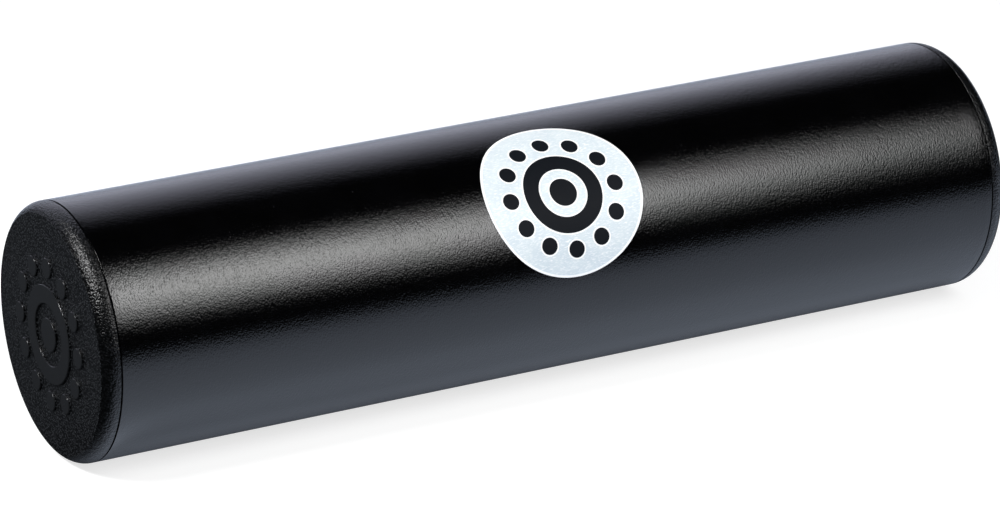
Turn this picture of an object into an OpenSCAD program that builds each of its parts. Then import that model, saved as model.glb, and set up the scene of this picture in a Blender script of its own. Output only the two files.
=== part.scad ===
/* [Tube] */
// Outer diameter of the steel tube
tube_d = 60; // [50:1:75]
// Length of the tube between the heads of its two caps
tube_length = 228; // [160:1:300]
// Wall of the tube
tube_wall = 1; // [0.8:0.1:1.6]
// Bevel on the edges at both ends of the tube
tube_bevel = 0.15; // [0.05:0.05:0.3]

/* [End caps] */
// Depth of a cap's head, the part that stays outside the tube
head_depth = 4.3; // [4:0.1:8]
// Radius of the head's rounded rim, which the flat face cuts off in a soft crease
rim_round = 4.2; // [2:0.1:5]
// Height above the tube's end at which the rim starts to turn
rim_start = 0.6; // [0.6:0.1:1.5]
// Width of the shadow groove between the head and the tube, seen as the thin dark seam
seam_width = 0.35; // [0.15:0.05:0.4]
// Depth of the shadow groove, which leaves the head a narrow seat on the tube's end
seam_depth = 0.5; // [0.3:0.1:0.6]
// Bevel on the head's edge at the shadow groove
seam_bevel = 0.1; // [0.05:0.05:0.15]
// Thickness of the head's face
face_wall = 2.2; // [1.6:0.1:3]
// How far the skirt reaches into the tube
skirt_length = 14; // [10:1:20]
// Wall of the skirt
skirt_wall = 2; // [1.5:0.1:3]
// Radial gap between the skirt and the bore of the tube
skirt_gap = 0.35; // [0.2:0.05:0.5]
// Bevel on the skirt's leading edge
skirt_bevel = 0.8; // [0.4:0.1:1.2]
// Fillet inside the cap, between the skirt and the face
inner_fillet = 1.2; // [0.5:0.1:2]

/* [Ribs of the caps] */
// Number of crush ribs around the skirt
crush_count = 12; // [6:1:18]
// Radius of a crush rib
crush_r = 0.8; // [0.6:0.1:1]
// Gap between a crush rib and the bore, line to line when new
crush_gap = 0.05; // [0.02:0.01:0.1]
// Length of a crush rib's tapered end
crush_taper = 2.5; // [1:0.5:4]
// Number of stiffening webs behind the face
web_count = 6; // [3:1:8]
// Thickness of a web
web_wall = 1.4; // [1:0.1:2]
// Depth of a web behind the face
web_depth = 5; // [3:0.5:8]
// Radius of the hub where the webs meet
hub_r = 4; // [3:0.5:6]
// How far the hub stands beyond the webs
hub_step = 1; // [0.5:0.5:2]

/* [Raised pattern on the caps] */
// Height of the raised pads above the face
pad_height = 0.5; // [0.3:0.1:0.8]
// Rounding along the edges of the pads
pad_edge = 0.3; // [0.1:0.05:0.3]
// Mean radius of the raised ring
ring_r = 9.4; // [8:0.2:10]
// Width of the raised ring
ring_width = 4.4; // [2:0.2:5]
// Radius of the round pad in the middle
boss_r = 4; // [2:0.2:5]
// Number of small round pads around the ring
pip_count = 12; // [6:1:16]
// Radius of a small round pad
pip_r = 2.4; // [1:0.1:2.6]
// Radius of the circle on which the small pads lie
pip_circle_r = 16; // [15:0.5:18]

/* [Sticker] */
// Diameter of the round foil sticker, measured along its curve
sticker_d = 40; // [20:1:44]
// Thickness of the foil
sticker_t = 0.1; // [0.05:0.05:0.2]
// Distance of the sticker's middle from the middle of the tube
sticker_x = 0.7; // [-20:0.1:20]
// Angle of the sticker's middle above the level of the tube's axis
sticker_angle = 42.3; // [0:0.1:90]

/* [Shot] */
// Diameter of one steel ball
ball_d = 5; // [4:0.5:6]
// Gap between one ball and the next, and between a ball and the tube
ball_gap = 0.1; // [0.05:0.05:0.3]
// Number of rows of balls that lie on the wall of the tube
wall_rows = 9; // [5:1:11]
// Number of rows that lie on top of those
top_rows = 7; // [3:1:7]
// Length of a row
row_length = 102; // [60:1:110]

/* [Hidden] */
$fn = 96;
overrun = 0.4;
tube_r = tube_d / 2;
bore_r = tube_r - tube_wall;
half_length = tube_length / 2;
skirt_r = bore_r - skirt_gap;
cup_r = skirt_r - skirt_wall;
cup_top = head_depth - face_wall;
sticker_r = sticker_d / 2;
sticker_steps = 96;
ball_r = ball_d / 2;
ball_pitch = ball_d + ball_gap;
balls = floor((row_length + ball_gap) / ball_pitch);
row_names = [for (i = [1 : wall_rows + top_rows]) str("shot_row_", i < 10 ? "0" : "", i)];

// The tube lies along X, with its middle at the origin.
module along_x() {
    rotate([0, 90, 0])
        children();
}

module tube() {
    color("#17181a")
        along_x()
            rotate_extrude()
                polygon([
                    [bore_r, tube_bevel - half_length],
                    [bore_r + tube_bevel, -half_length],
                    [tube_r - tube_bevel, -half_length],
                    [tube_r, tube_bevel - half_length],
                    [tube_r, half_length - tube_bevel],
                    [tube_r - tube_bevel, half_length],
                    [bore_r + tube_bevel, half_length],
                    [bore_r, half_length - tube_bevel]
                ]);
}

// A corner of a revolved outline: a quarter of a circle whose outermost points are at x and y.
module round_corner(x, y, r) {
    translate([x - r, y - r])
        intersection() {
            circle(r);
            square(r);
        }
}

// Half the outline of a cap's head. Its seat is on the end of the tube at height 0, and round the seat
// the head is cut back by the shadow groove. A deep head has a longer straight wall below its rim.
module head_outline() {
    seat_r = tube_r - seam_depth;
    rim_base = max(rim_start, head_depth - rim_round);
    polygon([
        [0, 0],
        [seat_r, 0],
        [seat_r, seam_width],
        [tube_r - seam_bevel, seam_width],
        [tube_r, seam_width + seam_bevel],
        [tube_r, rim_base],
        [tube_r - rim_round, rim_base],
        [tube_r - rim_round, head_depth],
        [0, head_depth]
    ]);
    intersection() {
        round_corner(tube_r, rim_base + rim_round, rim_round);
        square([tube_r, head_depth]);
    }
}

// Half the outline of the skirt. It enters the head by the overrun, so that the two are one moulding.
module skirt_outline() {
    polygon([
        [cup_r - overrun, -skirt_length],
        [skirt_r - skirt_bevel, -skirt_length],
        [skirt_r, skirt_bevel - skirt_length],
        [skirt_r, overrun],
        [cup_r - overrun, overrun]
    ]);
}

// Half the outline of the hollow inside the cap.
module cup_outline() {
    polygon([
        [0, -skirt_length - overrun],
        [cup_r, -skirt_length - overrun],
        [cup_r, cup_top - inner_fillet],
        [cup_r - inner_fillet, cup_top - inner_fillet],
        [cup_r - inner_fillet, cup_top],
        [0, cup_top]
    ]);
    round_corner(cup_r, cup_top, inner_fillet);
}

// The crush ribs hold the cap in the tube and taper towards the edge that goes in first.
module crush_ribs() {
    rib_end = skirt_length - skirt_bevel;
    for (i = [0 : crush_count - 1])
        rotate(i * 360 / crush_count)
            translate([bore_r - crush_gap - crush_r, 0, 0]) {
                translate([0, 0, crush_taper - rib_end])
                    cylinder(h = rib_end - crush_taper + overrun, r = crush_r);
                translate([0, 0, -rib_end])
                    cylinder(h = crush_taper, r1 = crush_r - skirt_gap, r2 = crush_r);
            }
}

// The webs and their hub stiffen the face from behind.
module webs() {
    for (i = [0 : web_count - 1])
        rotate(i * 360 / web_count)
            translate([0, -web_wall / 2, cup_top - web_depth])
                cube([cup_r + skirt_wall / 2, web_wall, web_depth + face_wall / 2]);
    translate([0, 0, cup_top - web_depth - hub_step])
        cylinder(h = web_depth + hub_step + face_wall / 2, r = hub_r);
}

// Half the outline of a pad from one radius to another, flat on top, with its outer edge rounded.
module pad_outline(r) {
    low = head_depth - pad_edge;
    high = head_depth + pad_height;
    polygon([
        [0, low],
        [r, low],
        [r, high - pad_edge],
        [r - pad_edge, high - pad_edge],
        [r - pad_edge, high],
        [0, high]
    ]);
    round_corner(r, high, pad_edge);
}

module round_pad(r) {
    rotate_extrude()
        pad_outline(r);
}

module ring_pad() {
    inner_r = ring_r - ring_width / 2;
    rotate_extrude()
        intersection() {
            pad_outline(ring_r + ring_width / 2);
            translate([2 * ring_r, 0])
                mirror([1, 0])
                    pad_outline(2 * ring_r - inner_r);
        }
}

module raised_pattern() {
    round_pad(boss_r);
    ring_pad();
    for (i = [0 : pip_count - 1])
        rotate(i * 360 / pip_count)
            translate([pip_circle_r, 0, 0])
                round_pad(pip_r);
}

module cap() {
    rotate_extrude()
        difference() {
            union() {
                head_outline();
                skirt_outline();
            }
            cup_outline();
        }
    crush_ribs();
    webs();
    raised_pattern();
}

module near_cap() {
    color("#222326")
        translate([-half_length, 0, 0])
            mirror([1, 0, 0])
                along_x()
                    cap();
}

module far_cap() {
    color("#222326")
        translate([half_length, 0, 0])
            along_x()
                cap();
}

// A circle on the sheet foil becomes this outline once the foil is laid round the tube.
module wrapped_circle() {
    polygon([
        for (i = [0 : sticker_steps - 1])
            let (a = i * 360 / sticker_steps, around = sticker_r * sin(a) / tube_r * 180 / PI)
                [sticker_r * cos(a), tube_r * sin(around)]
    ]);
}

module sticker() {
    color("#d6e4ec")
        translate([sticker_x, 0, 0])
            rotate([90 - sticker_angle, 0, 0])
                intersection() {
                    linear_extrude(tube_d)
                        wrapped_circle();
                    translate([-sticker_d, 0, 0])
                        along_x()
                            difference() {
                                cylinder(h = 2 * sticker_d, r = tube_r + sticker_t);
                                translate([0, 0, -overrun])
                                    cylinder(h = 2 * (sticker_d + overrun), r = tube_r);
                            }
                }
}

// Places in a layer go 0, -1, 1, -2, 2 and so on, counted from the bottom of the tube.
function place_in_layer(k) = (k % 2 == 0 ? 1 : -1) * ceil(k / 2);

// The angle between two neighbouring rows whose middles lie at radius r.
function row_step(r) = 2 * asin(ball_pitch / (2 * r));

// One straight row of loose balls, lying lengthwise in the bottom of the tube.
module shot_row(i) {
    layer = i < wall_rows ? 0 : 1;
    layer_r = bore_r - ball_gap - ball_r - layer * ball_pitch;
    angle = row_step(layer_r) * place_in_layer(i - layer * wall_rows);
    color("#b9bdc2")
        rotate([angle, 0, 0])
            for (k = [0 : balls - 1])
                translate([(k - (balls - 1) / 2) * ball_pitch, 0, -layer_r])
                    sphere(ball_r);
}

tube();
near_cap();
far_cap();
sticker();
for (i = [0 : len(row_names) - 1])
    shot_row(i);
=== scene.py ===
# %% [markdown]
# # Dressing a ganza shaker
#
# A ganza is a metal tube with a plug in each end and loose steel shot inside. This script takes the
# engineer's model of it as a fixed frame and gives each piece the surface that the real one has:
# powder-coated metal, moulded plastic, a foil sticker and polished shot.
# The frame is loaded first, because the pieces below take their sizes and places from it.

# %% Load the frame
import math

import bpy
from mathutils import Matrix, Vector


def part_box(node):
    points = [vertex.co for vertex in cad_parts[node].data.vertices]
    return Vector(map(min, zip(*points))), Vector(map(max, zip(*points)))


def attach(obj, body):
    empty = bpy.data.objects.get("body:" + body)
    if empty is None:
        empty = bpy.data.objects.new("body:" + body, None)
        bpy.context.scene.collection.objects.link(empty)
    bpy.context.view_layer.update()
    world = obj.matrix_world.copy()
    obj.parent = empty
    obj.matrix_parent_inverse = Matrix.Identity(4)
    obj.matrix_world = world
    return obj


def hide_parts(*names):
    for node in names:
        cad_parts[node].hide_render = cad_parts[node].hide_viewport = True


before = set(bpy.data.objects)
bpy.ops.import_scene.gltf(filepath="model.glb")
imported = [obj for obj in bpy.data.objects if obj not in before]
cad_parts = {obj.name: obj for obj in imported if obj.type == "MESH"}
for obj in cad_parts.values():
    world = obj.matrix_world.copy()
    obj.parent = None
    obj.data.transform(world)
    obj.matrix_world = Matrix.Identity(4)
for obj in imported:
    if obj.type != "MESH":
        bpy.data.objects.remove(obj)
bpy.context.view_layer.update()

MM = 0.001

# %% [markdown]
# What can be read off the frame's own pieces is read here. If the tube is ever made longer or wider,
# its skin and the sticker follow it without a change. The sticker's turn can't be read off a box, so
# it is written down. It is the angle, in degrees, of the sticker's middle above the level of the
# tube's axis. The tube's wall and the height of the caps' pads are written down where they are used.

# %% Read the sizes off the frame
tube_low, tube_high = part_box("tube")
sticker_low, sticker_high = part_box("sticker")
_, cap_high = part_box("far_cap")

tube_radius = -tube_low.z
tube_length = tube_high.x - tube_low.x
sticker_middle = (sticker_low.x + sticker_high.x) / 2
sticker_radius = (sticker_high.x - sticker_low.x) / 2
sticker_turn = 42.3
pad_top = cap_high.x
print("tube radius %.2f mm, length %.2f mm" % (tube_radius / MM, tube_length / MM))
print("sticker radius %.2f mm at x %.2f mm" % (sticker_radius / MM, sticker_middle / MM))

# %% [markdown]
# A finish is a small circuit of nodes, and so is a shape made by Geometry Nodes. Wiring them by hand
# is long to read. A `Wire` holds one socket and knows plus, minus, times and divide. The first three
# also take a plain number in front, so `1 - mask` adds its Math node by itself. Every other node
# comes from the one method `Board.add`, which takes the node's type, its settings and what goes in
# its sockets.

# %% A board of nodes and its wires
class Wire:
    """One socket's output. An expression on wires adds the Math nodes that it needs."""

    def __init__(self, board, socket):
        self.board = board
        self.socket = socket

    def math(self, operation, *others):
        values = dict(enumerate((self, *others)))
        return self.board.add("ShaderNodeMath", {"operation": operation}, values)

    def __add__(self, other):
        return self.math("ADD", other)

    __radd__ = __add__

    def __mul__(self, other):
        return self.math("MULTIPLY", other)

    __rmul__ = __mul__

    def __sub__(self, other):
        return self.math("SUBTRACT", other)

    def __rsub__(self, other):
        return self.board.add("ShaderNodeMath", {"operation": "SUBTRACT"}, {0: other, 1: self})

    def __truediv__(self, other):
        return self.math("DIVIDE", other)

    def ease(self, start, end, low=0.0, high=1.0, kind="SMOOTHSTEP"):
        """A soft step from low to high as the wire's value goes from start to end."""
        values = {"Value": self, "From Min": start, "From Max": end, "To Min": low, "To Max": high}
        return self.board.add("ShaderNodeMapRange", {"interpolation_type": kind}, values)

    def ramp(self, start, end):
        """A straight climb from 0 to 1 as the wire's value goes from start to end."""
        return self.ease(start, end, kind="LINEAR")


class Board:
    """A node tree of a material, a lamp, the world or a shape."""

    def __init__(self, tree):
        self.tree = tree

    def add(self, kind, settings=None, sockets=None, out=0):
        node = self.tree.nodes.new(kind)
        for name, value in (settings or {}).items():
            setattr(node, name, value)
        for name, value in (sockets or {}).items():
            self.plug(value, node.inputs[name])
        return Wire(self, node.outputs[out]) if len(node.outputs) else None

    def plug(self, value, socket):
        for one in value if isinstance(value, list) else [value]:
            if isinstance(one, Wire):
                self.tree.links.new(one.socket, socket)
            else:
                socket.default_value = one

    def split(self, vector):
        """The three numbers of a vector."""
        node = self.add("ShaderNodeSeparateXYZ", sockets={0: vector}).socket.node
        return [Wire(self, socket) for socket in node.outputs]

    def join(self, x, y, z):
        return self.add("ShaderNodeCombineXYZ", sockets={0: x, 1: y, 2: z})

    def blend(self, share, first, second):
        """A colour that goes from first to second as share goes from 0 to 1."""
        settings = {"data_type": "RGBA", "clamp_factor": True}
        return self.add("ShaderNodeMix", settings, {0: share, 6: first, 7: second}, out=2)

    def noise(self, place, size, detail=2.0, rough=0.5):
        """Cloudy noise from 0 to 1 whose lumps are about as wide as size, in metres."""
        values = {"Vector": place, "Scale": 1 / size, "Detail": detail, "Roughness": rough}
        return self.add("ShaderNodeTexNoise", sockets=values)

    def pebbles(self, place, size, feature="SMOOTH_F1"):
        """Cells about as wide as size, in metres. The value grows from 0 at a cell's middle."""
        values = {"Vector": place, "Scale": 1 / size}
        if feature == "SMOOTH_F1":
            values["Smoothness"] = 0.35
        return self.add("ShaderNodeTexVoronoi", {"feature": feature}, values)


def grey(value):
    return (value, value, value, 1.0)


print("board ready")

# %% [markdown]
# ## Camera
# The photograph was taken with a long lens from a little above, with the near end of the tube turned
# towards the camera. The place of the camera was worked out from the tube's outline and its two
# seams, and it is set here before anything else, so each piece can be judged from the same spot.

# %% Set the camera
VIEW_TURN = -28.461
VIEW_RISE = 21.144
VIEW_DISTANCE = 39.048 * tube_radius
VIEW_RIGHT = 0.1093 * tube_radius
VIEW_UP = 0.0719 * tube_radius

turn = math.radians(VIEW_TURN)
rise = math.radians(VIEW_RISE)
towards_camera = Vector((
    math.sin(turn) * math.cos(rise), -math.cos(turn) * math.cos(rise), math.sin(rise)))
camera_right = Vector((math.cos(turn), math.sin(turn), 0))
camera_up = towards_camera.cross(camera_right)

lens = bpy.data.cameras.new("camera")
lens.lens = 180
lens.sensor_width = 36
lens.clip_start = 0.05
lens.clip_end = 50
camera = bpy.data.objects.new("camera", lens)
place = Matrix((camera_right, camera_up, towards_camera)).transposed().to_4x4()
place.translation = VIEW_DISTANCE * towards_camera - VIEW_RIGHT * camera_right - VIEW_UP * camera_up
camera.matrix_world = place
bpy.context.scene.collection.objects.link(camera)
bpy.context.scene.camera = camera
bpy.context.scene.view_settings.view_transform = "Standard"
print("camera stands at", [round(c, 4) for c in camera.location])

# %% [markdown]
# ## Light
# A black satin tube shows hardly any colour of its own. What the eye reads is the room mirrored in
# it: a long softbox in front and above gives the grey band, a white wall behind gives the pale upper
# edge, and a white card on the table gives the soft grey lower half. Between them the room is dark.
# An area lamp glows evenly unless it has nodes of its own. The Geometry node's Parametric value says
# where on the lamp a point lies, so one lamp can fade out towards its edges as a real softbox does.

# %% Helpers for lamps
def hang(name, middle, length, width, strength, roll=0.0):
    """An area lamp with its length along the tube, turned to face it and then rolled in its plane."""
    lamp = bpy.data.lights.new(name, "AREA")
    lamp.shape = "RECTANGLE"
    lamp.size = length
    lamp.size_y = width
    lamp.energy = strength * math.pi * length * width
    box = bpy.data.objects.new(name, lamp)
    away = Vector((0, middle.y, middle.z)).normalized()
    along = Vector((1, 0, 0))
    turned = Matrix((along, away.cross(along), away)).transposed().to_4x4()
    turned = turned @ Matrix.Rotation(roll, 4, "Z")
    turned.translation = middle
    box.matrix_world = turned
    box.visible_camera = False
    bpy.context.scene.collection.objects.link(box)
    return box


def fade(box, full_across, full_along, cut):
    """Dims the lamp towards its long sides and its right end. Across, 0 is the middle line and 1 a
    long side. Along, 0 is the left end and 1 the right one. The glow would climb from nothing at 1 to
    full at the place given, and cut is the stretch along the lamp in which the rest of it goes out."""
    box.data.use_nodes = True
    tree = box.data.node_tree
    tree.nodes.clear()
    board = Board(tree)
    spot = board.add("ShaderNodeNewGeometry").socket.node.outputs["Parametric"]
    along, across, _ = board.split(Wire(board, spot))
    across = (across * 2 - 1).math("ABSOLUTE").ease(1.0, full_across)
    cut_start, cut_end = cut
    along = along.ramp(1.0, full_along) * along.ease(cut_end, cut_start)
    glow = board.add("ShaderNodeEmission", sockets={"Color": grey(1.0), "Strength": across * along})
    board.add("ShaderNodeOutputLight", sockets={"Surface": glow})


print("lamp helpers ready")

# %% [markdown]
# The softbox hangs in front and to the right, where the turned tube mirrors it into the camera. It
# fades towards its right end, so the band on the tube does too. Across, it would be full only beyond
# its middle line, so the fade has no flat part and gives the band soft flanks. A small box on the left
# draws the streak on the near cap's rim.
# Black gloss shows only the boxes that it mirrors, so a wide fill, which is no mirror image at all,
# brings the light on pale surfaces to the level at which a mid colour comes out about as written.

# %% Hang the lamps
BOX_HEIGHT = math.radians(42.4)
BOX_AWAY = 0.70
BOX_LEFT = 0.05
BOX_RIGHT = 0.63
BOX_WIDTH = 0.79
BOX_ROLL = math.radians(-9)
BOX_STRENGTH = 8.5
SIDE_MIDDLE = Vector((-0.55, -0.07, 0.56))
SIDE_STRENGTH = 62.0
FILL_MIDDLE = Vector((-0.10, -0.90, 0.80))
FILL_STRENGTH = 1.2

box_middle = Vector((
    (BOX_LEFT + BOX_RIGHT) / 2, -BOX_AWAY * math.cos(BOX_HEIGHT), BOX_AWAY * math.sin(BOX_HEIGHT)))
softbox = hang("softbox", box_middle, BOX_RIGHT - BOX_LEFT, BOX_WIDTH, BOX_STRENGTH, BOX_ROLL)
fade(softbox, full_across=-0.18, full_along=0.36, cut=(0.79, 0.87))
hang("softbox_side", SIDE_MIDDLE, length=0.14, width=0.24, strength=SIDE_STRENGTH)
fill = hang("fill", FILL_MIDDLE, length=1.60, width=1.00, strength=FILL_STRENGTH)
fill.visible_glossy = False

# %% [markdown]
# The room itself is the world's colour. It depends on the direction in the room and not on where the
# camera stands: white behind the object, fading to near black in front, overhead and to the sides.
# Past the floor's edge the camera itself sees plain white.
# Cycles can treat a world or a glowing floor as a lamp and aim rays at it. Both are large and even
# here, so rays find them anyway. With the aiming off there is less noise, and a denoiser that has
# less to smooth keeps more of the fine grain.

# %% Paint the room
WALL = (0.99, 1.02, 1.22, 1.0)
ROOM_DARK = 0.008
WALL_BEHIND = (0.38, 0.92)
WALL_UP = (-0.10, 0.10)
WALL_LEFT = (-0.80, 0.15)
WALL_RIGHT = (0.63, 0.54)

room = bpy.data.worlds.new("room")
room.use_nodes = True
room.cycles.sampling_method = "NONE"
room.node_tree.nodes.clear()
bpy.context.scene.world = room
board = Board(room.node_tree)
heading = board.add("ShaderNodeTexCoord").socket.node.outputs["Generated"]
sideways, behind, up = board.split(Wire(board, heading))
wall_share = behind.ease(*WALL_BEHIND) * up.ease(*WALL_UP)
wall_share = wall_share * sideways.ease(*WALL_LEFT) * sideways.ease(*WALL_RIGHT)
room_colour = board.blend(wall_share, grey(ROOM_DARK), WALL)
room_light = board.add("ShaderNodeBackground", sockets={"Color": room_colour, "Strength": 1.0})
plain_white = board.add("ShaderNodeBackground", sockets={"Color": grey(1.0), "Strength": 1.0})
seen = board.add("ShaderNodeLightPath")
room_mix = board.add("ShaderNodeMixShader", sockets={0: seen, 1: room_light, 2: plain_white})
board.add("ShaderNodeOutputWorld", sockets={"Surface": room_mix})
print("room painted with", len(room.node_tree.nodes), "nodes")

# %% [markdown]
# ## Floor
# The floor is a plain pale table top that the tube lies on, one large square with its face upwards.

# %% Lay the floor
FLOOR_HALF = 8.0
FLOOR_GAP = 0.02 * MM
floor_height = -tube_radius - FLOOR_GAP
corners = [(-FLOOR_HALF, -FLOOR_HALF), (FLOOR_HALF, -FLOOR_HALF),
           (FLOOR_HALF, FLOOR_HALF), (-FLOOR_HALF, FLOOR_HALF)]
floor_mesh = bpy.data.meshes.new("floor")
floor_mesh.from_pydata([(x, y, floor_height) for x, y in corners], [], [(0, 1, 2, 3)])
floor = bpy.data.objects.new("floor", floor_mesh)
bpy.context.scene.collection.objects.link(floor)
print("floor at z = %.2f mm" % (floor_height / MM))

# %% [markdown]
# To the camera the table top is white but for the object's own soft shadow. Light Path's first
# output, Is Camera Ray, tells the two uses apart. For the light that bounces off it, it is pale only
# on two cards. One lies in front of the tube, grows paler towards it and ends under it, and stops at
# the near cap. The other starts some way behind the tube. Elsewhere the table is dark, so that the
# black tube has something black to mirror.

# %% Colour the table top
CARD_PALER = (-0.27, -0.02)
CARD_END = (0.000, -0.028)
CARD_LEFT = (-0.1265, -0.110)
BACK_CARD_START = (0.12, 0.18)
BACK_CARD_LEFT = (-0.12, -0.05)
CARD_SKIN = (0.61, 0.69, 0.83, 1)
CARD_GLOW = (0.26, 0.29, 0.35, 1)
DARK_FRONT = (0.020, 0.022, 0.024, 1)
DARK_BACK = (0.050, 0.055, 0.062, 1)
DARK_CHANGE = (-0.01, 0.03)
SEEN_SKIN = 0.42
SEEN_GLOW = 0.72

table_top = bpy.data.materials.new("table_top")
table_top.use_nodes = True
table_top.cycles.emission_sampling = "NONE"
table_top.node_tree.nodes.clear()
board = Board(table_top.node_tree)
spot = board.add("ShaderNodeTexCoord").socket.node.outputs["Object"]
spot_x, spot_y, _ = board.split(Wire(board, spot))
front_share = spot_y.ramp(*CARD_PALER) * spot_y.ease(*CARD_END) * spot_x.ease(*CARD_LEFT)
back_share = spot_y.ease(*BACK_CARD_START) * spot_x.ease(*BACK_CARD_LEFT)
card_share = front_share + back_share
dark_colour = board.blend(spot_y.ease(*DARK_CHANGE), DARK_FRONT, DARK_BACK)
card_colour = board.blend(card_share, dark_colour, CARD_SKIN)
card_glow = board.blend(card_share, grey(0.0), CARD_GLOW)
card_skin = board.add("ShaderNodeBsdfDiffuse", sockets={"Color": card_colour})
card_light = board.add("ShaderNodeEmission", sockets={"Color": card_glow, "Strength": 1.0})
bounced = board.add("ShaderNodeAddShader", sockets={0: card_skin, 1: card_light})
shaded = board.add("ShaderNodeBsdfDiffuse", sockets={"Color": grey(SEEN_SKIN)})
glow = board.add("ShaderNodeEmission", sockets={"Color": grey(1.0), "Strength": SEEN_GLOW})
seen_floor = board.add("ShaderNodeAddShader", sockets={0: shaded, 1: glow})
seen = board.add("ShaderNodeLightPath")
floor_mix = board.add("ShaderNodeMixShader", sockets={0: seen, 1: bounced, 2: seen_floor})
board.add("ShaderNodeOutputMaterial", sockets={"Surface": floor_mix})
floor_mesh.materials.append(table_top)
print("table top has", len(table_top.node_tree.nodes), "nodes")

# %% [markdown]
# ## Finishes
# Each finish below is one Principled shader. What is the same all over the piece is written on the
# shader's own sockets. What varies goes through nodes that read the piece's Object coordinates, or
# on the sticker a map of its own. Both are in metres, so a lump of 0.6 mm is 0.6 mm on every piece.

# %% Helpers for finishes
def finish_board(name):
    """A new empty material with its board, and the piece's place in metres."""
    material = bpy.data.materials.new(name)
    material.use_nodes = True
    material.node_tree.nodes.clear()
    board = Board(material.node_tree)
    board.material = material
    board.place = Wire(board, board.add("ShaderNodeTexCoord").socket.node.outputs["Object"])
    return board


def close_finish(board, **sockets):
    """The Principled shader and the output. Names are written with _ for a space."""
    values = {name.replace("_", " "): value for name, value in sockets.items()}
    shader = board.add("ShaderNodeBsdfPrincipled", sockets=values)
    board.add("ShaderNodeOutputMaterial", sockets={"Surface": shader})
    print(board.material.name, "has", len(board.tree.nodes), "nodes")
    return board.material


def bump(board, height, depth, under=None):
    """Raises the surface by height times depth, in metres, on top of the relief under it."""
    values = {"Height": height, "Distance": depth, "Strength": 1.0}
    if under is not None:
        values["Normal"] = under
    return board.add("ShaderNodeBump", sockets=values)


print("finish helpers ready")

# %% [markdown]
# ### Powder coat
# The tube is sprayed with black powder and baked. The powder melts into a satin skin with the fine
# pebbles known as orange peel, here about 0.4 mm across, and still finer wrinkles that run round the
# tube. A slower waviness lies under both. A few grains of dust baked into it stand up as tiny nibs.
# The colour hardly varies, so the relief and the gloss do the work. The satin look comes mostly from
# the relief, which scatters the mirror image, and the gloss of the skin itself is left fairly sharp.
# Where the tube was cut, its edge turns in a little, so the bright band goes out before the seam.

# %% Make the powder coat
WRINKLE_STRETCH = 0.28
NIB_SPACING = 4.2 * MM
NIB_EDGE = (0.045, 0.015)
TURN_IN_START = tube_length / 2 - 1.8 * MM
TURN_IN_END = tube_length / 2 + 1.0 * MM

board = finish_board("powder_coat")
stretched = board.add("ShaderNodeMapping", sockets={
    "Vector": board.place, "Scale": (1.0, WRINKLE_STRETCH, WRINKLE_STRETCH)})
wrinkles = board.noise(stretched, size=0.26 * MM, detail=1.0)
waves = board.noise(board.place, size=1.6 * MM, detail=1.0)
nibs = board.pebbles(board.place, size=NIB_SPACING, feature="F1").ease(*NIB_EDGE)
turned_in = board.split(board.place)[0].math("ABSOLUTE").ease(TURN_IN_START, TURN_IN_END)
peel = bump(board, board.pebbles(board.place, size=0.38 * MM), depth=-0.026 * MM)
peel = bump(board, wrinkles, depth=0.050 * MM, under=peel)
peel = bump(board, waves, depth=0.008 * MM, under=peel)
peel = bump(board, nibs, depth=0.03 * MM, under=peel)
peel = bump(board, turned_in, depth=-0.08 * MM, under=peel)
gloss = board.noise(board.place, size=1.7 * MM).ease(0.3, 0.7, low=0.11, high=0.14)
tone = board.noise(board.place, size=9 * MM).ease(0.25, 0.75)
coat_colour = board.blend(tone, (0.0002, 0.0002, 0.0003, 1), (0.0005, 0.0005, 0.0007, 1))
powder_coat = close_finish(board, Base_Color=coat_colour, Roughness=gloss, Normal=peel, IOR=1.55)

# %% [markdown]
# ### Moulded plastic
# The caps are moulded in black plastic. The mould was spark-eroded, which leaves a fine even grain on
# the face and the rim. Relief alone would hardly show on the face, which mirrors only the dark room,
# so light and shade are painted into the colour: the grain's pits get painted shade, its peaks painted
# light, and the face is painted far paler than the rim, painted light in place of a brighter
# reflection.
# The raised pads were polished in the mould, so they are smooth and a little glossier, and their
# colour is one even share of the face's painted light. Rim, face and pads are told apart by how far
# out along the tube a point lies.

# %% Make the cap plastic
PAD_HEIGHT = 0.50 * MM
PAD_GRAIN = 0.06
PAD_SMOOTHER = 0.04
PAD_SHARE_OF_PAINTED_LIGHT = 0.35
FINE_SHARE = 0.6
# The three colours below are painted light and shade: the grain's peaks paler than its pits, and the
# face's peaks far paler than the rim's.
FACE_PEAK_PAINTED_LIGHT = (0.0400, 0.0430, 0.0480, 1)
RIM_PEAK_PAINTED_LIGHT = (0.0060, 0.0065, 0.0075, 1)
PIT_PAINTED_SHADE = (0.0004, 0.0005, 0.0006, 1)

board = finish_board("cap_grain_and_painted_shading")
along = board.split(board.place)[0].math("ABSOLUTE")
polished = along.ease(pad_top - 0.30 * MM, pad_top - 0.12 * MM)
face_level = pad_top - PAD_HEIGHT
# Beyond this the face's colour takes over: painted light that makes the face paler than the rim.
face_painted_light_share = along.ease(face_level - 0.12 * MM, face_level - 0.02 * MM)
grain = board.pebbles(board.place, size=0.50 * MM)
fine = board.noise(board.place, size=0.24 * MM, rough=0.6)
grain_height = (fine * FINE_SHARE - grain) * ((1 - polished) * (1 - PAD_GRAIN) + PAD_GRAIN)
skin = bump(board, grain_height, depth=0.12 * MM)
rough = board.noise(board.place, size=0.9 * MM).ease(0.3, 0.7, low=0.20, high=0.26)
rough = rough - polished * PAD_SMOOTHER
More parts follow.
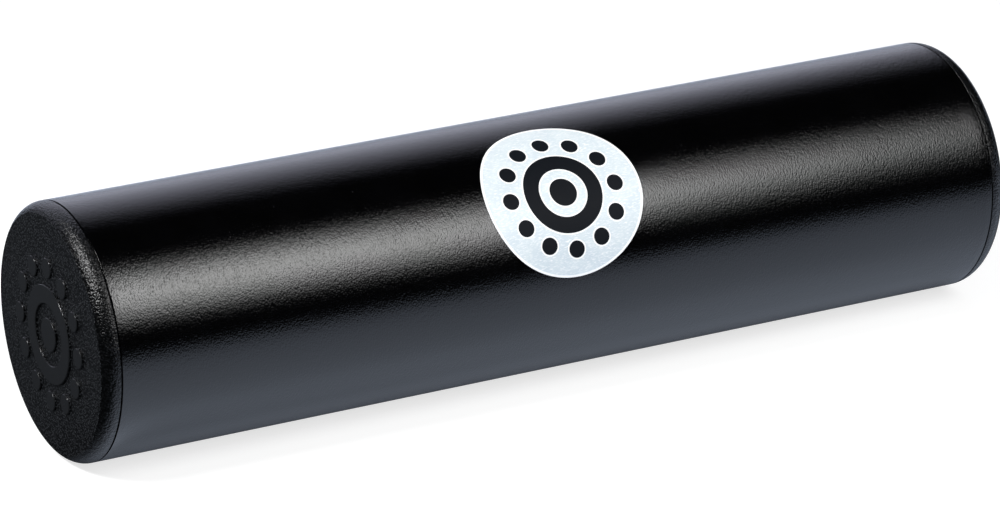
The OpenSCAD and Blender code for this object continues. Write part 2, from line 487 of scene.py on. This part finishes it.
# The grain's pits get painted shade and its peaks painted light; the polished pads get one even share
# of it.
tone = grain.ease(0.58, 0.18) * (1 - polished) + polished * PAD_SHARE_OF_PAINTED_LIGHT
plastic_painted_light_and_shade = board.blend(tone, PIT_PAINTED_SHADE, board.blend(face_painted_light_share, RIM_PEAK_PAINTED_LIGHT, FACE_PEAK_PAINTED_LIGHT))
cap_grain_and_painted_shading = close_finish(board, Base_Color=plastic_painted_light_and_shade, Roughness=rough, Normal=skin,
                         IOR=1.5, Specular_IOR_Level=0.40)

# %% [markdown]
# ### Foil
# The sticker is a silvery foil under clear film. The foil is rolled metal with short flecks that lie
# at all angles, here three layers of stretched noise, each turned another way. The flecks' glint is
# painted into the colour as paler streaks, and they are also a little glossier. A thin white rim runs
# along its cut edge. All of the sticker's finishes read the map named `flat`, which gives a point's
# place on the sticker before it was wrapped round the tube, in metres from its middle.

# %% Make the foil
FLECK_STRETCH = 0.30
FLECK_LAYERS = ((20, 1.0), (80, 4.0), (140, 9.0))
# How strongly the flecks' glint is painted into the foil's colour.
FLECK_GLINT_PAINT = 0.46
FLECK_SMOOTHER = 0.25
FOIL_ROUGH = 0.34


def flat_place(board):
    """Where a point lay on the sticker while it was still flat."""
    node = board.add("ShaderNodeAttribute", {"attribute_name": "flat"}).socket.node
    return Wire(board, node.outputs["Vector"])


board = finish_board("foil")
flat = flat_place(board)
flat_x, flat_y, _ = board.split(flat)
reach = (flat_x * flat_x + flat_y * flat_y).math("SQRT")
rim = reach.ease(sticker_radius - 0.62 * MM, sticker_radius - 0.48 * MM)
flecks = []
for angle, shift in FLECK_LAYERS:
    turned = board.add("ShaderNodeMapping", sockets={
        "Vector": flat, "Location": (shift, shift, 0), "Rotation": (0, 0, math.radians(angle)),
        "Scale": (FLECK_STRETCH, 1.0, 1.0)})
    flecks.append(board.noise(turned, size=0.30 * MM, detail=1.0).ease(0.58, 0.70))
# Where the flecks lie, the foil's colour gets a painted glint, paler than the foil.
fleck_painted_glint = flecks[0] + flecks[1] + flecks[2]
cloud = board.noise(flat, size=5 * MM).ease(0.3, 0.7)
silver = board.blend(cloud, (0.602, 0.680, 0.725, 1), (0.655, 0.727, 0.757, 1))
silver = board.blend(fleck_painted_glint * FLECK_GLINT_PAINT, silver, (0.90, 0.92, 0.93, 1))
foil_colour = board.blend(rim, silver, (0.93, 0.94, 0.95, 1))
foil_rough = (1 - fleck_painted_glint * FLECK_SMOOTHER) * FOIL_ROUGH
film = bump(board, board.noise(flat, size=1.6 * MM), depth=0.004 * MM)
foil = close_finish(board, Base_Color=foil_colour, Roughness=foil_rough, Normal=film, IOR=1.5,
                    Specular_IOR_Level=0.27)

# %% [markdown]
# ### Keyline and ink
# A white keyline shows round each printed shape, because the white under the black was printed a
# little larger. The ink is matt black and lies on top. Both are nearly even in colour, and a faint
# mottle in tone, gloss and height keeps them from looking like flat paper.

# %% Make the keyline's white and the ink
board = finish_board("keyline_white")
mottle = board.noise(flat_place(board), size=1.2 * MM)
white_colour = board.blend(mottle, (0.90, 0.915, 0.93, 1), (0.95, 0.955, 0.96, 1))
white_rough = mottle.ease(0.2, 0.8, low=0.34, high=0.42)
keyline_white = close_finish(board, Base_Color=white_colour, Roughness=white_rough,
                             Normal=bump(board, mottle, depth=0.003 * MM), IOR=1.5)

board = finish_board("ink")
mottle = board.noise(flat_place(board), size=0.8 * MM)
ink_colour = board.blend(mottle, (0.0048, 0.0060, 0.0084, 1), (0.0070, 0.0086, 0.0115, 1))
ink_rough = mottle.ease(0.2, 0.8, low=0.48, high=0.58)
ink = close_finish(board, Base_Color=ink_colour, Roughness=ink_rough,
                   Normal=bump(board, mottle, depth=0.004 * MM), Specular_IOR_Level=0.08)

# %% [markdown]
# ### Steel shot
# The shot is polished steel. It has been shaken against itself, so it carries faint scuffs, and its
# colour wanders a little from ball to ball.

# %% Make the steel
board = finish_board("shot_steel_polished")
scuff = board.noise(board.place, size=0.35 * MM, detail=3.0, rough=0.6)
patch = board.noise(board.place, size=4 * MM)
steel_colour = board.blend(patch, (0.56, 0.55, 0.53, 1), (0.68, 0.67, 0.65, 1))
steel_rough = scuff.ease(0.3, 0.7, low=0.14, high=0.30)
steel = close_finish(board, Base_Color=steel_colour, Metallic=1.0, Roughness=steel_rough,
                     Normal=bump(board, scuff, depth=0.003 * MM))

# %% [markdown]
# ## Shapes made by Geometry Nodes
# A shape that follows a rule is made by a tree of nodes with named inputs, so a size can be changed
# in one place. The tree runs as a modifier, and its result is then turned into a plain mesh, because
# the pieces have to be plain before they are handed to the frame.

# %% Helpers for shapes
SHARP_TURN = math.radians(40)
LARGE_FACES_ONLY = 100


def shape_board(name, inputs):
    """A geometry tree with named number inputs. It returns the board and a wire for each input."""
    tree = bpy.data.node_groups.new(name, "GeometryNodeTree")
    tree.is_modifier = True
    for label, value in inputs.items():
        kind = "NodeSocketInt" if isinstance(value, int) else "NodeSocketFloat"
        tree.interface.new_socket(name=label, in_out="INPUT", socket_type=kind).default_value = value
    tree.interface.new_socket(name="Geometry", in_out="OUTPUT", socket_type="NodeSocketGeometry")
    board = Board(tree)
    node = board.add("NodeGroupInput").socket.node
    return board, {label: Wire(board, node.outputs[label]) for label in inputs}


def smooth_shape(board, geometry):
    """Smooth faces that meet in sharp edges wherever the skin turns by more than SHARP_TURN."""
    geometry = board.add("GeometryNodeSetShadeSmooth", sockets={"Geometry": geometry})
    sharp = board.add("GeometryNodeInputMeshEdgeAngle").math("GREATER_THAN", SHARP_TURN)
    return board.add("GeometryNodeSetShadeSmooth", {"domain": "EDGE"}, {
        "Geometry": geometry, "Selection": sharp, "Shade Smooth": False})


def run_shape(name, board, geometry, inputs):
    """Runs the tree on an empty object and keeps its result as a plain mesh.
    Normals follow the larger faces, so a long flat wall mirrors straight up to its rounded edge."""
    board.add("NodeGroupOutput", sockets={"Geometry": geometry})
    piece = bpy.data.objects.new(name, bpy.data.meshes.new(name + "_start"))
    bpy.context.scene.collection.objects.link(piece)
    modifier = piece.modifiers.new("shape", "NODES")
    modifier.node_group = board.tree
    for socket in board.tree.interface.items_tree:
        if socket.in_out == "INPUT":
            modifier[socket.identifier] = inputs[socket.name]
    weighted = piece.modifiers.new("normals", "WEIGHTED_NORMAL")
    weighted.keep_sharp = True
    weighted.weight = LARGE_FACES_ONLY
    ready = piece.evaluated_get(bpy.context.evaluated_depsgraph_get())
    mesh = bpy.data.meshes.new_from_object(ready)
    piece.modifiers.clear()
    piece.data = mesh
    mesh.name = name
    ends = [Vector(c) / MM for c in piece.bound_box]
    print(name, len(mesh.polygons), "faces, x from %.2f to %.2f mm" % (ends[0].x, ends[6].x))
    return piece


print("shape helpers ready")

# %% [markdown]
# ### Tube
# The tube is a rolled wall, one long rectangle with rounded corners carried round a circle. In nodes
# that is Curve to Mesh: the circle is the path and the rectangle is the profile. The two ends are cut
# and deburred before coating, which is why the corners are round.

# %% Make the tube
tube_inputs = {"Radius": tube_radius, "Wall": 1.0 * MM, "Length": tube_length,
               "Edge round": 0.06 * MM, "Steps around": 256, "Edge steps": 4}
board, size = shape_board("tube_shape", tube_inputs)
ring = board.add("GeometryNodeCurvePrimitiveCircle", sockets={
    "Resolution": size["Steps around"], "Radius": size["Radius"] - size["Wall"] / 2})
wall = board.add("GeometryNodeCurvePrimitiveQuadrilateral", sockets={
    "Width": size["Wall"], "Height": size["Length"]})
wall = board.add("GeometryNodeFilletCurve", {"mode": "POLY"}, {
    "Curve": wall, "Radius": size["Edge round"], "Count": size["Edge steps"]})
tube_skin = board.add("GeometryNodeCurveToMesh", sockets={"Curve": ring, "Profile Curve": wall})
tube_skin = board.add("GeometryNodeTransform", sockets={
    "Geometry": tube_skin, "Rotation": (0, math.radians(90), 0)})
tube_skin = smooth_shape(board, tube_skin)
tube_skin = board.add("GeometryNodeRealizeInstances", sockets={"Geometry": tube_skin})
tube_skin = board.add("GeometryNodeSetMaterial", sockets={
    "Geometry": tube_skin, "Material": powder_coat})
tube = run_shape("tube_coated", board, tube_skin, tube_inputs)

# %% [markdown]
# ### Sticker
# The real sticker is a flat round that was printed, cut and rolled onto the tube. It is made the same
# way here: a flat film and its flat ink are laid out first, their place is written down in the map
# `flat`, and one last node rolls both onto the tube. All of it is built from one kind of plate, round
# or with a round hole. Its faces run in rings, so it has points inside its outline that can bend.

# %% A plate, and how it is rolled on
WELD = 0.001 * MM


def plate(board, inner, outer, low, high, steps_out, steps_around):
    """A flat closed plate, round or with a round hole, made from a grid bent into a full turn."""
    grid = board.add("GeometryNodeMeshGrid", sockets={
        "Size X": 1.0, "Size Y": 1.0, "Vertices X": steps_out + 1, "Vertices Y": steps_around + 1})
    grid_x, grid_y, _ = board.split(board.add("GeometryNodeInputPosition"))
    reach = inner + (grid_x + 0.5) * (outer - inner)
    angle = grid_y * math.tau
    bent = board.join(reach * angle.math("COSINE"), reach * angle.math("SINE"), low)
    sheet = board.add("GeometryNodeSetPosition", sockets={"Geometry": grid, "Position": bent})
    sheet = board.add("GeometryNodeMergeByDistance", sockets={"Geometry": sheet, "Distance": WELD})
    top = board.add("GeometryNodeExtrudeMesh", sockets={
        "Mesh": sheet, "Offset Scale": high - low, "Individual": False})
    bottom = board.add("GeometryNodeFlipFaces", sockets={"Mesh": sheet})
    both = board.add("GeometryNodeJoinGeometry", sockets={"Geometry": [top, bottom]})
    return board.add("GeometryNodeMergeByDistance", sockets={"Geometry": both, "Distance": WELD})


def roll_on(board, flat_parts, size):
    """Writes down the flat place, then rolls the flat parts onto the tube."""
    here = board.add("GeometryNodeInputPosition")
    kept = board.add("GeometryNodeStoreNamedAttribute", {"data_type": "FLOAT_VECTOR"}, {
        "Geometry": flat_parts, "Name": "flat", "Value": here})
    flat_x, flat_y, flat_z = board.split(here)
    angle = size["Turn"] + flat_y / size["Tube radius"]
    away = size["Tube radius"] + flat_z
    rolled = board.join(
        flat_x + size["Middle"], away * angle.math("COSINE") * -1, away * angle.math("SINE"))
    return board.add("GeometryNodeSetPosition", sockets={"Geometry": kept, "Position": rolled})


print("plate helpers ready")

# %% [markdown]
# The print is a plain motif of this model's own, a ring and pips much like those on the caps, in
# black over a thin white keyline. The pips are one disc set on the points of a circle. Keyline and
# ink are the same motif laid twice, the first time grown by the keyline's width.

# %% Lay out the motif
def motif(board, size, spread, low, high, material):
    """The ring, the middle spot and the pips as flat plates, each grown by spread on all sides."""
    boss = plate(board, 0.0, size["Boss radius"] + spread, low, high, steps_out=3, steps_around=48)
    ring = plate(board, size["Ring inner"] - spread, size["Ring outer"] + spread, low, high,
                 steps_out=4, steps_around=96)
    pip = plate(board, 0.0, size["Pip radius"] + spread, low, high, steps_out=2, steps_around=32)
    circle = board.add("GeometryNodeMeshCircle", sockets={
        "Vertices": size["Pips"], "Radius": size["Pip circle"]})
    pips = board.add("GeometryNodeInstanceOnPoints", sockets={"Points": circle, "Instance": pip})
    pips = board.add("GeometryNodeRealizeInstances", sockets={"Geometry": pips})
    parts = board.add("GeometryNodeJoinGeometry", sockets={"Geometry": [boss, ring, pips]})
    return board.add("GeometryNodeSetMaterial", sockets={"Geometry": parts, "Material": material})


PRINT_SINK = 0.004 * MM
sticker_inputs = {
    "Tube radius": tube_radius, "Middle": sticker_middle, "Turn": math.radians(sticker_turn),
    "Sticker radius": sticker_radius, "Film": 0.085 * MM, "Keyline top": 0.092 * MM,
    "Ink top": 0.10 * MM, "Keyline": 0.38 * MM, "Boss radius": 3.4 * MM, "Ring inner": 6.0 * MM,
    "Ring outer": 9.8 * MM, "Pip radius": 2.0 * MM, "Pip circle": 13.6 * MM, "Pips": 12}
board, size = shape_board("sticker_shape", sticker_inputs)
film_plate = plate(board, 0.0, size["Sticker radius"], 0.0, size["Film"],
                   steps_out=16, steps_around=160)
film_plate = board.add("GeometryNodeSetMaterial", sockets={
    "Geometry": film_plate, "Material": foil})
print_low = size["Film"] - PRINT_SINK
keyline = motif(board, size, size["Keyline"], print_low, size["Keyline top"], keyline_white)
black = motif(board, size, 0.0, print_low, size["Ink top"], ink)
sticker_parts = board.add("GeometryNodeJoinGeometry", sockets={
    "Geometry": [film_plate, keyline, black]})
sticker_parts = smooth_shape(board, roll_on(board, sticker_parts, size))
sticker_parts = board.add("GeometryNodeRealizeInstances", sockets={"Geometry": sticker_parts})
sticker = run_shape("sticker_printed", board, sticker_parts, sticker_inputs)

# %% [markdown]
# ## Dress the frame's own pieces
# The caps and the shot have their true shape in the frame already, so only their material changes.
# The tube and the sticker are new pieces, so each is hung on the body that it rides on, and the piece
# of the engineer's model that it stands for is hidden. Each took its finish when it was made.

# %% Dress the caps and the shot
dressed = []
for name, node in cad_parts.items():
    if name.endswith("_cap"):
        node.data.materials[0] = cap_grain_and_painted_shading
        dressed.append(name)
    elif name.startswith("shot_row"):
        node.data.materials[0] = steel
        dressed.append(name)
print(len(dressed), "frame pieces have a new finish")

# %% Hand the pieces to the frame
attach(tube, "shaker_shell")
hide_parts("tube")
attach(sticker, "shaker_shell")
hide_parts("sticker")
print("handed over:", tube.name, "and", sticker.name)
